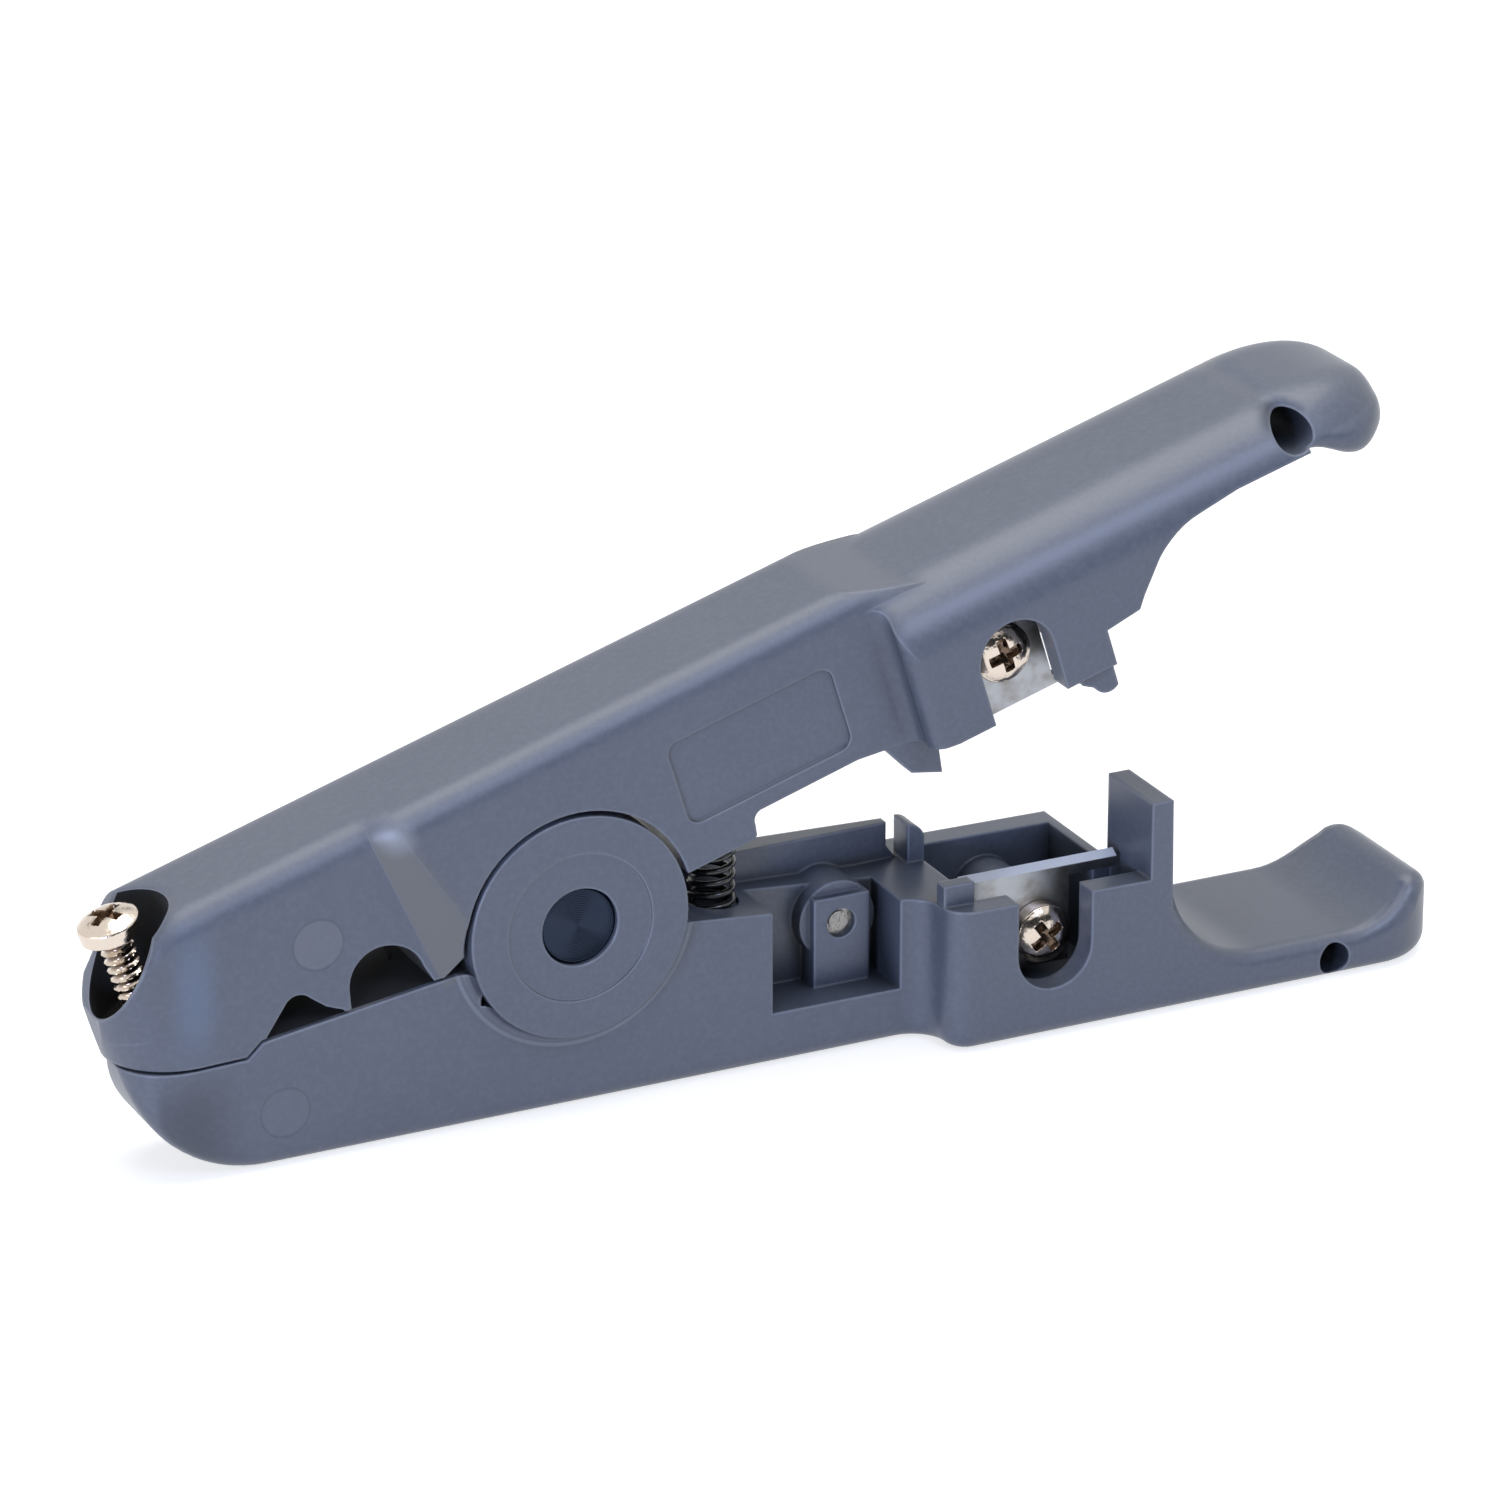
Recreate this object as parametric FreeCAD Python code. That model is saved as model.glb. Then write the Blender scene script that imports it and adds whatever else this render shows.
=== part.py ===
import FreeCAD, Part
import math
import os

V = FreeCAD.Vector

# Cable stripper: two moulded arms on one pin, shown open and standing on the lower arm.
# Millimetres. Origin on the resting face under the pin, on the mid-plane between the sides.
# +X runs to the grip ends, -Y is the side with the disc and the blade windows, +Z is up.

# Shared sizes
pivot_z = 17.2            # pin height above the resting face
open_angle = 17.3         # slope of the upper arm with the tool open, degrees
nose_half = 5.0           # half width at the nose
mid_half = 6.5            # half width across the discs
grip_half = 10.0          # half width of the grips
low_far = 8.0             # far side of the lower grip
move_gap = 0.3            # between faces that pass each other
run_gap = 0.05            # radial running fit
tiny = 0.01

# Pin and discs
pin_r = 3.5
pin_recess = 0.5          # pin end below the disc face
pin_dome = 0.35
disc_r = 10.0
disc_ring_r = 6.65
disc_ring_depth = 0.15
cove_w = 1.1              # width of the cove round the disc
disc_gap = 0.5            # upper arm clear of the discs
tongue_half = 2.5
tongue_r = 7.0
tongue_side = 6.5
tongue_gap = 0.5          # round the end of the tongue

# Lower arm
nose_tip_r = 12.0         # underside of the nose
nose_centre_x = -28.0
nose_plan_x = -35.0
split_z = 10.15           # split line at the nose tip
jaw_low_x = -28.3
jaw_low_z = 11.6
jaw_high_x = -9.2
jaw_high_z = 14.5
deck_left_z = 15.2
deck_right_x = 31.1
deck_right_z = 13.3
wall_top_z = 13.0
low_step_x0 = 31.0
low_step_x1 = 36.0
low_end_x = 84.0
post_x0 = 52.9
post_x1 = 55.1
post_top_z = 20.15
post_y1 = -2.0
thumb_floor_z = 4.0
low_edge_r = 1.7
thumb_edge_r = 1.5

# Far wall, slit post and corner nub of the lower arm
far_wall_y0 = 1.8          # inner face at its left end
far_wall_y1 = 4.0          # and at the slit
far_wall_x0 = 12.5
far_wall_x1 = 34.1
far_wall_top = 17.45
far_wall_fall = 0.75      # drop of its top towards the slit
slit_post_top = 16.8
slit_post_x0 = 35.4
slit_post_x1 = 37.0
slit_post_y0 = 2.3
nub_x0 = 33.6
nub_x1 = 36.5
nub_y0 = -8.1
nub_y1 = -6.7
nub_top = 15.2

# Near window with its screw block
window_x0 = 18.7
window_x1 = 31.0
window_z = 5.0
window_back_y = 0.7
block_x0 = 24.3
block_x1 = 29.6
block_top = 13.2
block_front_y = -1.7
block_hole_x = 26.9
block_hole_z = 10.7
block_hole_r = 1.35
block_boss_r = 3.6
block_head_gap = 0.15      # round the head of its screw
block_tip_r = 0.9
block_tip_length = 0.7

# Blade boxes (the same pocket in each arm)
wall = 2.4
box_x0 = 37.0
box_x1 = 51.1
box_rim_x = 52.0
box_floor_z = 3.0
box_step_y = -2.7         # the right wall is thin behind this line
notch_r = 3.6
low_notch_x = 43.5
low_notch_z = 8.2
screw_boss_r = 3.0
blade_face_y = -4.8
blade_thick = 0.8
low_blade_x1 = 47.6
low_blade_x2 = 52.3
low_blade_top = 14.0
low_blade_bottom = 4.6
blade_strip = 1.4
blade_bevel = 0.5
low_screw_x = 44.5
low_screw_z = 8.0

# Fixing screws
head_r = 2.7
head_t = 2.0
shank_r = 1.3
blade_shank = 8.0

# Upper arm, measured along (u) and square to (v) its spine from the pin
spine_v = 16.95
spine_edge_r = 2.2
grip_spine_v = 15.45
grip_edge_r = 6.0
nose_u = -40.5
nose_lip_v = 9.7           # front lip of the slanted mouth around the screw
nose_flat_u = -33.8
step_u0 = -14.3           # the near side widens between these two
step_u1 = -12.0
step_low_u0 = -12.5       # the same two at the foot of the step
step_low_u1 = -7.6
rim_v = 13.5              # the far step stops below this rim
up_step_u0 = 32.5
up_step_u1 = 35.0
up_end_u = 84.5
tip_length = 10.0         # rounded tip of the upper grip
tip_v = 10.5
grip_lip_v = 11.15        # lower edge of the grip's side
tip_edge_r = 0.8
tip_dip = 3.4             # how far the tip droops under the grip
plate_t = 1.7             # side plates beside the cavities
jaw_cavity_u0 = -29.5
jaw_cavity_u1 = -14.6
jaw_cavity_v = 10.5
mid_cavity_u0 = 11.5
mid_cavity_u1 = 30.5
mid_cavity_v = 5.8
panel_u0 = 12.0
panel_u1 = 28.0
panel_v0 = 3.9
panel_v1 = 11.9
panel_depth = 0.3
panel_corner = 1.2
head_bottom_v = 1.3
head_end_u = 51.8
head_end_v = 4.7
up_box_u0 = 37.0
up_box_u1 = 50.0
up_box_v = 11.0
up_notch_u = 43.2
up_notch_v = 6.1
up_screw_u = 43.5
up_screw_v = 5.1
up_blade_u1 = 47.8
up_blade_edge_v = -1.15
up_blade_top_v = 8.6
tooth_y0 = -6.4
tooth_y1 = -4.6
end_tooth_y0 = -9.0
end_tooth_y1 = -6.5

# Adjusting screw in the nose
adjust_u = -36.3
adjust_head_r = 2.7
adjust_head_v = 16.0
adjust_tip_v = 5.6
adjust_head_t = 2.0
adjust_r = 1.5
adjust_bore_r = 4.5
adjust_bore_shift = 0.7    # bore centre behind the screw
adjust_floor_v = 7.6

# Cord holes
low_cord_x = 71.7
low_cord_z = 1.9
low_cord_r = 1.5
up_cord_u = 73.8
up_cord_v = 13.15
up_cord_r = 1.75

# Return spring
spring_x = 15.0
spring_y = -0.5
spring_seat_z = 14.1
spring_top_z = 27.1
spring_r = 1.9
spring_wire_r = 0.26
spring_turns = 12
spring_sides = 12          # straight steps in one turn
spring_pad_r = 2.4

# Blade in the jaw
jaw_blade_t = 0.6
jaw_blade_top_v = 12.5


def outline(steps):
    """Closed wire in the XZ plane: (x, z) is a line, (xm, zm, x, z) an arc through xm, zm."""
    edges = []
    last = steps[0]
    for step in steps[1:] + [steps[0]]:
        end = step[-2:]
        a = V(last[0], 0, last[1])
        b = V(end[0], 0, end[1])
        if len(step) == 4:
            edges.append(Part.Arc(a, V(step[0], 0, step[1]), b).toShape())
        elif a.distanceToPoint(b) > 1e-6:
            edges.append(Part.makeLine(a, b))
        last = end
    return Part.Wire(edges)


def side(steps, y0, y1):
    """Side outline pushed from y0 to y1."""
    face = Part.Face(outline(steps))
    face.translate(V(0, y0, 0))
    return face.extrude(V(0, y1 - y0, 0))


def plan(steps, z0, z1):
    """The same kind of outline read as (x, y), pushed from z0 to z1."""
    face = Part.Face(outline(steps))
    face.rotate(V(0, 0, 0), V(1, 0, 0), -90)
    face.translate(V(0, 0, z0))
    return face.extrude(V(0, 0, z1 - z0))


def block(x0, x1, y0, y1, z0, z1):
    return Part.makeBox(x1 - x0, y1 - y0, z1 - z0, V(x0, y0, z0))


def rod(x, z, r, y0, y1):
    """Cylinder along Y."""
    return Part.makeCylinder(r, y1 - y0, V(x, y0, z), V(0, 1, 0))


def both_sides(shape):
    return shape.fuse(shape.mirror(V(0, 0, 0), V(0, 1, 0)))


def rounded(shape, radius, wanted):
    """Fillet the edges that the test accepts."""
    picked = [e for e in shape.Edges if wanted(e, e.BoundBox)]
    return shape.makeFillet(radius, picked)


def is_line(edge):
    return edge.Curve.TypeId == "Part::GeomLine"


def lift(shape):
    """Turn a shape drawn along the upper arm's spine into its open position."""
    turned = shape.copy()
    turned.rotate(V(0, 0, 0), V(0, 1, 0), -open_angle)
    turned.translate(V(0, 0, pivot_z))
    return turned


def s_step(x0, y0, x1, y1):
    """Two tangent arcs from (x0, y0) to (x1, y1), both ends along X."""
    dx = x1 - x0
    dy = y1 - y0
    r = (dx * dx + dy * dy) / (4.0 * abs(dy))
    half = math.asin(dx / 2.0 / r) / 2.0
    sign = 1.0 if dy > 0 else -1.0
    mx = r * math.sin(half)
    my = sign * r * (1.0 - math.cos(half))
    middle = ((x0 + x1) / 2.0, (y0 + y1) / 2.0)
    return [(x0 + mx, y0 + my) + middle, (x1 - mx, y1 - my, x1, y1)]


def split_line(rise):
    """Top of the lower jaw from the nose tip to the disc, raised by a clearance."""
    return [(nose_plan_x - 6.0, split_z + rise),
            (nose_plan_x + 1.0, split_z + rise),
            (jaw_low_x - 1.4 - rise * 0.4, split_z + 0.15 + rise),
            (jaw_low_x - rise * 0.4, jaw_low_z + rise),
            (jaw_high_x, jaw_high_z + rise)]


def low_plan():
    """Lower arm seen from above: narrow nose, a step out to the grip, a rounded end."""
    x = low_end_x
    near = [(nose_plan_x, -nose_half), (low_step_x0, -nose_half)]
    near += s_step(low_step_x0, -nose_half, low_step_x1, -grip_half)
    near += [(x - 7.0, -grip_half), (x - 2.7, -0.85 * grip_half, x - 0.6, -0.5 * grip_half)]
    near += [(x, -0.06 * grip_half, x - 0.6, 0.45 * low_far)]
    near += [(x - 2.7, 0.83 * low_far, x - 7.0, low_far), (low_step_x1, low_far)]
    near += s_step(low_step_x1, low_far, low_step_x0, nose_half)
    near += [(nose_plan_x, nose_half)]
    near += [(nose_plan_x - nose_half, 0.0, nose_plan_x, -nose_half)]
    return near


def low_side():
    """Lower arm seen from the side: nose, jaw, deck, post, thumb rest and flat base."""
    s = split_line(0.0)[1:]
    tip_x = nose_centre_x - math.sqrt(nose_tip_r ** 2 - (nose_tip_r - split_z) ** 2)
    low45 = nose_tip_r * math.sqrt(0.5)
    pts = [(tip_x, split_z)] + s
    pts += [(jaw_high_x + 0.5, deck_left_z - 4.0), (9.0, deck_left_z - 4.0), (9.0, deck_left_z + 0.05)]
    pts += [(deck_right_x, deck_right_z), (low_step_x1, wall_top_z + 0.2), (post_x0, wall_top_z)]
    pts += [(post_x1, wall_top_z), (post_x1 + 0.4, wall_top_z - 0.5)]
    pts += [(58.6, 6.1, 65.0, thumb_floor_z), (73.0, thumb_floor_z)]
    x = low_end_x
    pts += [(x - 7.4, 4.75, x - 4.5, 6.9), (x - 3.2, 7.5, x - 1.9, 7.1), (x - 0.5, 5.8, x, 4.2)]
    pts += [(x, 0.0), (nose_centre_x, 0.0)]
    pts += [(nose_centre_x - low45, nose_tip_r - low45, tip_x, split_z)]
    return pts


def cove():
    """Hollow fillet between the disc and the near side of the arm, in short cones."""
    steps = [(disc_r - 1.0, -mid_half), (disc_r, -mid_half)]
    for k in (1, 2, 3, 4):
        turn = math.radians(22.5 * k)
        steps.append((disc_r + cove_w * (1 - math.cos(turn)),
                      -mid_half + (mid_half - nose_half) * math.sin(turn)))
    steps += [(disc_r + cove_w, -nose_half + 0.2), (disc_r - 1.0, -nose_half + 0.2), steps[0]]
    wire = Part.makePolygon([V(r, y, 0) for r, y in steps])
    ring = Part.Face(Part.Wire(wire)).revolve(V(0, 0, 0), V(0, 1, 0), 360)
    ring.translate(V(0, 0, pivot_z))
    return ring


def lower_base():
    """Filled lower arm with its rounded bottom and thumb rest."""
    body = side(low_side(), -grip_half - 1, grip_half + 1).common(plan(low_plan(), -1, 60))
    body = rounded(body, low_edge_r, lambda e, b: b.ZMax < 10 and b.XMax < low_end_x + 0.1
                   and not (is_line(e) and b.YLength > 1) and b.ZMin < 0.1)
    return rounded(body, thumb_edge_r, lambda e, b: b.XMin > post_x1 + 0.39 and b.ZMin > 3.5
                   and not (is_line(e) and b.YLength > 1) and b.Center.z > 3.5)


def pin_hole(r, half):
    """Round bar on the pin's axis, half to each side."""
    return rod(0, pivot_z, r, -half, half)


def lower_arm():
    """One moulding: discs, walls, blade box, screw block, and room for the tongue."""
    body = lower_base()
    disc = rod(0, pivot_z, disc_r, -mid_half, mid_half)
    under = side(low_side(), -mid_half - 1, mid_half + 1)
    disc = disc.fuse(both_sides(cove()).common(under))
    body = body.fuse(disc)
    # far wall beside the spring, the slit, the slit post and the corner nub
    s_far = [(far_wall_x0, 12.0), (far_wall_x0, far_wall_top),
             (far_wall_x1, far_wall_top - far_wall_fall), (far_wall_x1, deck_right_z + 1.2),
             (slit_post_x0, deck_right_z - 0.6), (slit_post_x0, 12.0)]
    taper = plan([(far_wall_x0, far_wall_y0), (far_wall_x1, far_wall_y1), (slit_post_x0, far_wall_y1),
                  (slit_post_x0, nose_half), (far_wall_x0, nose_half)], 0, 40)
    body = body.fuse(side(s_far, 0, nose_half).common(taper))
    s_post = [(slit_post_x0, 12.0), (slit_post_x0, slit_post_top),
              (slit_post_x1 - 0.4, slit_post_top - 0.5, slit_post_x1, slit_post_top - 1.8),
              (slit_post_x1, 12.0)]
    body = body.fuse(side(s_post, slit_post_y0, nose_half))
    body = body.fuse(block(nub_x0, nub_x1, nub_y0, nub_y1, wall_top_z - 1, nub_top))
    s_tall = [(post_x0, 10.0), (post_x0, post_top_z), (post_x1 - 0.15, post_top_z), (post_x1, 10.0)]
    body = body.fuse(side(s_tall, -grip_half, post_y1))
    drop = [(box_rim_x, 25.0), (box_rim_x, wall_top_z - 0.4), (54.2, 8.9, 58.6, 6.1), (60.0, 25.0)]
    body = body.cut(side(drop, post_y1, grip_half + 1))
    # blade box, its notch, its screw boss
    inner = grip_half - wall
    far = low_far - wall
    box = block(box_x0, box_x1, -inner, far, box_floor_z, 40)
    box = box.fuse(block(box_x1 - 1, post_x0 - tiny, -inner, box_step_y, box_floor_z, 40))
    box = box.cut(rod(low_screw_x, low_screw_z, screw_boss_r, blade_face_y + blade_thick, far))
    body = body.cut(box)
    slot = rod(low_notch_x, low_notch_z, notch_r, -grip_half - 1, -inner + tiny)
    slot = slot.fuse(block(low_notch_x - notch_r, low_notch_x + notch_r, -grip_half - 1,
                           -inner + tiny, low_notch_z, 20))
    body = body.cut(slot)
    body = body.cut(rod(low_screw_x, low_screw_z, shank_r, blade_face_y, blade_face_y + blade_shank + 1))
    # window with its screw block
    window = block(window_x0, window_x1, -nose_half - 1, window_back_y, window_z, 40)
    keep = block(block_x0, block_x1, block_front_y, window_back_y + 1, window_z - 1, block_top)
    boss = rod(block_hole_x, block_hole_z, block_boss_r, block_front_y + 0.8, far_wall_y1 + 0.5)
    body = body.cut(window.cut(keep))
    body = body.fuse(boss)
    body = body.cut(rod(block_hole_x, block_hole_z, block_hole_r, -nose_half, nose_half + 1))
    body = body.cut(rod(block_hole_x, block_hole_z, head_r, nose_half - head_t, nose_half + 1))
    # room for the tongue, pin hole, disc ring, spring seat, cord hole
    half = tongue_half + move_gap
    room = rod(0, pivot_z, tongue_r + tongue_gap, -half, half)
    room = room.fuse(block(-tongue_r - tongue_gap, tongue_r + tongue_gap, -half, half, pivot_z, 40))
    room = room.fuse(block(-disc_r - 1, disc_r + 1, -half, half, pivot_z + 1, 40))
    body = body.cut(room)
    body = body.cut(pin_hole(pin_r, 12))
    ring = rod(0, pivot_z, disc_ring_r, -mid_half - 1, -mid_half + disc_ring_depth)
    body = body.cut(both_sides(ring))
    body = body.cut(Part.makeCylinder(spring_r + 0.5, 10, V(spring_x, spring_y, spring_seat_z), V(0, 0, 1)))
    body = body.cut(rod(low_cord_x, low_cord_z, low_cord_r, -12, 12))
    return body.removeSplitter()


def up_side():
    """Front of the upper arm from the side, along its spine."""
    return [(nose_u, 0.0), (nose_u, 6.5), (nose_u + 0.3, nose_lip_v),
            (nose_u + 3.5, 12.9, nose_flat_u, spine_v), (31.0, spine_v), (38.0, grip_spine_v - 0.3),
            (40.0, grip_spine_v - 1.0),
            (40.0, head_bottom_v), (36.0, head_bottom_v), (30.1, 2.1), (28.0, 2.4), (18.6, 2.35),
            (17.8, 2.1, 17.5, 1.3), (17.35, 0.3), (17.0, 0.0), (8.0, 0.0), (0.0, -1.0), (-11.0, 0.0)]


def grip_side():
    """Side of the upper grip from the shoulder to the drooping end."""
    u = up_end_u - tip_length
    return [(28.0, 2.4), (28.0, grip_spine_v), (u, grip_spine_v), (u, grip_lip_v), (67.0, 11.2),
            (62.9, 10.8), (60.7, 10.3, 58.2, 8.7), (56.0, 6.2), (55.2, 5.1),
            (head_end_u, head_end_v), (head_end_u, head_bottom_v), (36.0, head_bottom_v), (30.1, 2.1)]


def grip_plan():
    """Upper grip seen from above, with its step out at the shoulder."""
    near = [(up_step_u0, -mid_half)] + s_step(up_step_u0, -mid_half, up_step_u1, -grip_half)
    near += [(up_end_u, -grip_half), (up_end_u, grip_half), (up_step_u1, grip_half)]
    near += s_step(up_step_u1, grip_half, up_step_u0, mid_half)
    return near


def dome(y0, y1, top, r, u0, u1):
    """Bar along the spine with both top edges rounded."""
    bar = block(u0, u1, y0, y1, -5, top)
    return rounded(bar, r, lambda e, b: b.ZMin > top - tiny and b.XLength > 1)


def front_bar():
    """Bar with both top edges rounded, which widens on the near side behind the jaw."""
    wires = []
    for u, near in ((-50, nose_half), (step_u0, nose_half), (step_u1, mid_half), (45, mid_half)):
        r = spine_edge_r
        low, high, k = spine_v - r, spine_v, r * (1 - math.sqrt(0.5))
        p = [V(u, -near, -5), V(u, -near, low), V(u, -near + k, high - k), V(u, -near + r, high),
             V(u, mid_half - r, high), V(u, mid_half - k, high - k), V(u, mid_half, low),
             V(u, mid_half, -5)]
        wires.append(Part.Wire([Part.makeLine(p[0], p[1]), Part.Arc(p[1], p[2], p[3]).toShape(),
                                Part.makeLine(p[3], p[4]), Part.Arc(p[4], p[5], p[6]).toShape(),
                                Part.makeLine(p[6], p[7]), Part.makeLine(p[7], p[0])]))
    return Part.makeLoft(wires, True, True)


def jaw_recess():
    """Room beside the jaw: its slanted end face spreads towards the foot."""
    wires = []
    for v, u0, u1 in ((0.0, step_low_u0, step_low_u1), (15.0, step_u0, step_u1)):
        pts = [(-60, -nose_half), (u0, -nose_half), (u1, -mid_half), (u1, -12), (-60, -12)]
        wires.append(Part.makePolygon([V(u, y, v) for u, y in pts + pts[:1]]))
    return Part.makeLoft([Part.Wire(w) for w in wires], True, True)


def tip_section(u, wide, tall, low):
    """One cross-section of the drooping tip: the grip's domed section, shrunk towards tip_v."""
    flat = grip_half - grip_edge_r
    centre = grip_spine_v - grip_edge_r
    start = math.asin((grip_lip_v + tip_edge_r - centre) / grip_edge_r)
    half = []
    for turn in (start, (start + math.pi / 2) / 2, math.pi / 2):
        y = (flat + grip_edge_r * math.cos(turn)) * wide
        v = centre + grip_edge_r * math.sin(turn)
        half.append((y, tip_v + (v - tip_v) * tall))
    (y0, v0), (ym, vm), (y1, v1) = half
    v0 = max(v0, low + tip_edge_r * tall)
    vm = max(vm, v0 + 0.1 * tall)
    edge = tip_edge_r * wide
    bend = 0.3 * edge
    p = [V(u, -y1, v1), V(u, -ym, vm), V(u, -y0, v0), V(u, -y0 + bend, low + bend), V(u, -y0 + edge, low)]
    q = [V(c.x, -c.y, c.z) for c in p]
    return Part.Wire([Part.makeLine(q[0], p[0]), Part.Arc(p[0], p[1], p[2]).toShape(),
                      Part.Arc(p[2], p[3], p[4]).toShape(), Part.makeLine(p[4], q[4]),
                      Part.Arc(q[4], q[3], q[2]).toShape(), Part.Arc(q[2], q[1], q[0]).toShape()])


def grip_tip():
    """Drooping rounded tip of the upper grip, lofted through shrinking sections."""
    wires = []
    for degrees in (0, 5, 12, 22, 34, 46, 58, 68, 77, 84):
        turn = math.radians(degrees)
        u = up_end_u - tip_length * (1 - math.sin(turn))
        wide = math.cos(turn) ** 0.62
        tall = math.cos(turn) ** 0.75
        s = min(1.0, math.sin(turn) * 1.7)
        dip = grip_lip_v - tip_dip * s * s * (3 - 2 * s)
        wires.append(tip_section(u, wide, tall, tip_v + (dip - tip_v) * tall))
    return Part.makeLoft(wires, True, False)


def nose_plan():
    """Upper arm seen from above, up to the shoulder: the near side steps in at the nose."""
    mid_y = (mid_half - nose_half) / 2.0
    end_r = (mid_half + nose_half) / 2.0
    c = nose_u + end_r
    return [(c, -nose_half), (step_u0, -nose_half), (step_u1, -mid_half), (40.0, -mid_half),
            (40.0, mid_half), (c, mid_half), (nose_u, mid_y, c, -nose_half)]


def upper_base():
    """Filled upper arm, still lying along its spine."""
    front = side(up_side(), -mid_half, mid_half).common(plan(nose_plan(), -5, 20))
    front = front.common(front_bar()).cut(jaw_recess())
    grip = side(grip_side(), -grip_half, grip_half).common(plan(grip_plan(), -5, 20))
    grip = grip.common(dome(-grip_half, grip_half, grip_spine_v, grip_edge_r, 25, 90))
    return front.fuse(grip).fuse(grip_tip())


def notches():
    """Two cable notches through the jaw's side plates, as (x, z) in the open position."""
    small = [(-28.3, 11.6), (-26.3, 14.6), (-25.3, 15.3, -24.1, 14.9), (-22.6, 13.8),
             (-21.0, 13.2), (-20.6, 12.0), (-28.3, 10.0)]
    big = [(-20.35, 13.0), (-20.5, 14.9), (-20.1, 16.6, -17.8, 18.25),
           (-15.3, 17.7, -13.7, 15.7), (-12.8, 14.2), (-12.8, 12.0), (-20.6, 12.0)]
    return side(small, -10, 10).fuse(side(big, -10, 10))


def upper_arm():
    """One moulding, made along its spine and then lifted to the open position."""
    body = upper_base()
    inner = grip_half - wall
    # far step under the rim, cavities, shoulder of the head
    body = body.cut(block(-50, step_u1, nose_half, 12, -10, rim_v))
    body = body.cut(block(jaw_cavity_u0, jaw_cavity_u1, -nose_half + plate_t, nose_half - plate_t,
                          -5, jaw_cavity_v))
    body = body.cut(block(mid_cavity_u0, mid_cavity_u1, -mid_half + plate_t, mid_half - plate_t,
                          -5, mid_cavity_v))
    body = body.cut(block(9.0, 33.0, nose_half - 1, 12, -5, 2.4))
    # blade box with its notch and screw boss
    box = block(up_box_u0, up_box_u1, -inner, inner, -5, up_box_v)
    box = box.cut(rod(up_screw_u, up_screw_v, screw_boss_r, blade_face_y + blade_thick, inner))
    body = body.cut(box)
    slot = rod(up_notch_u, up_notch_v, notch_r, -grip_half - 1, -inner + tiny)
    slot = slot.fuse(block(up_notch_u - notch_r, up_notch_u + notch_r, -grip_half - 1,
                           -inner + tiny, -5, up_notch_v))
    body = body.cut(slot)
    body = body.cut(rod(up_screw_u, up_screw_v, shank_r, blade_face_y, blade_face_y + blade_shank + 1))
    # teeth that hang from the near side
    tooth = [(29.8, 3.0), (30.6, 2.0), (32.3, -1.2), (35.0, -2.5), (35.3, -0.4),
             (up_box_u0, -0.6), (up_box_u0, 3.0)]
    body = body.fuse(side(tooth, tooth_y0, tooth_y1))
    last = [(48.6, 3.0), (48.6, 0.3), (49.6, -0.4), (50.8, -1.4, head_end_u, -1.1), (head_end_u, 3.0)]
    body = body.fuse(side(last, end_tooth_y0, end_tooth_y1))
    # panel recess, cord hole, adjusting screw bores
    panel = block(panel_u0, panel_u1, -mid_half - 1, -mid_half + panel_depth, panel_v0, panel_v1)
    panel = rounded(panel, panel_corner, lambda e, b: b.YLength > 1)
    body = body.cut(panel)
    body = body.cut(rod(up_cord_u, up_cord_v, up_cord_r, -12, 12))
    body = body.cut(Part.makeCylinder(adjust_bore_r, 20, V(adjust_u + adjust_bore_shift, 0, adjust_floor_v),
                                      V(0, 0, 1)))
    body = body.cut(Part.makeCylinder(adjust_r + run_gap, 30, V(adjust_u, 0, -5), V(0, 0, 1)))
    # discs' clearance, then the tongue
    body = body.cut(rod(0, 0, disc_r + disc_gap, -12, 12))
    tongue = rod(0, 0, tongue_r, -tongue_half, tongue_half)
    tongue = tongue.fuse(block(-tongue_side, tongue_side, -tongue_half, tongue_half,
                               0, disc_r + disc_gap + 1))
    body = body.fuse(tongue)
    body = body.cut(rod(0, 0, pin_r + run_gap, -12, 12))
    # blade slot in the jaw
    body = body.cut(block(jaw_cavity_u0, jaw_cavity_u1, -jaw_blade_t / 2, jaw_blade_t / 2,
                          0, jaw_blade_top_v))
    body = lift(body)
    # split line, notches and the corner beside the disc, in the open position
    low = split_line(move_gap)
    below = side([(-60.0, -5.0), (-60.0, split_z + move_gap)] + low + [(jaw_high_x, -5.0)], -12, 12)
    body = body.cut(below)
    body = body.cut(notches())
    corner = [(-12.1, 14.2), (-9.9, 16.9), (-8.5, 14.0)]
    body = body.cut(side(corner, -12, -tongue_half))
    body = body.cut(side(corner, tongue_half, 12))
    pad = Part.makeCylinder(spring_pad_r, 4, V(spring_x, spring_y, spring_top_z), V(0, 0, 1))
    body = body.fuse(pad)
    return body.removeSplitter()


def pivot_pin():
    """Plain pin with a shallow dome on each end."""
    half = mid_half - pin_recess - pin_dome
    body = pin_hole(pin_r, half)
    ball = (pin_r ** 2 + pin_dome ** 2) / (2 * pin_dome)
    cap = Part.makeSphere(ball, V(0, -half - pin_dome + ball, pivot_z))
    cap = cap.common(rod(0, pivot_z, pin_r, -half - pin_dome, -half))
    return body.fuse(both_sides(cap)).removeSplitter()


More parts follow.
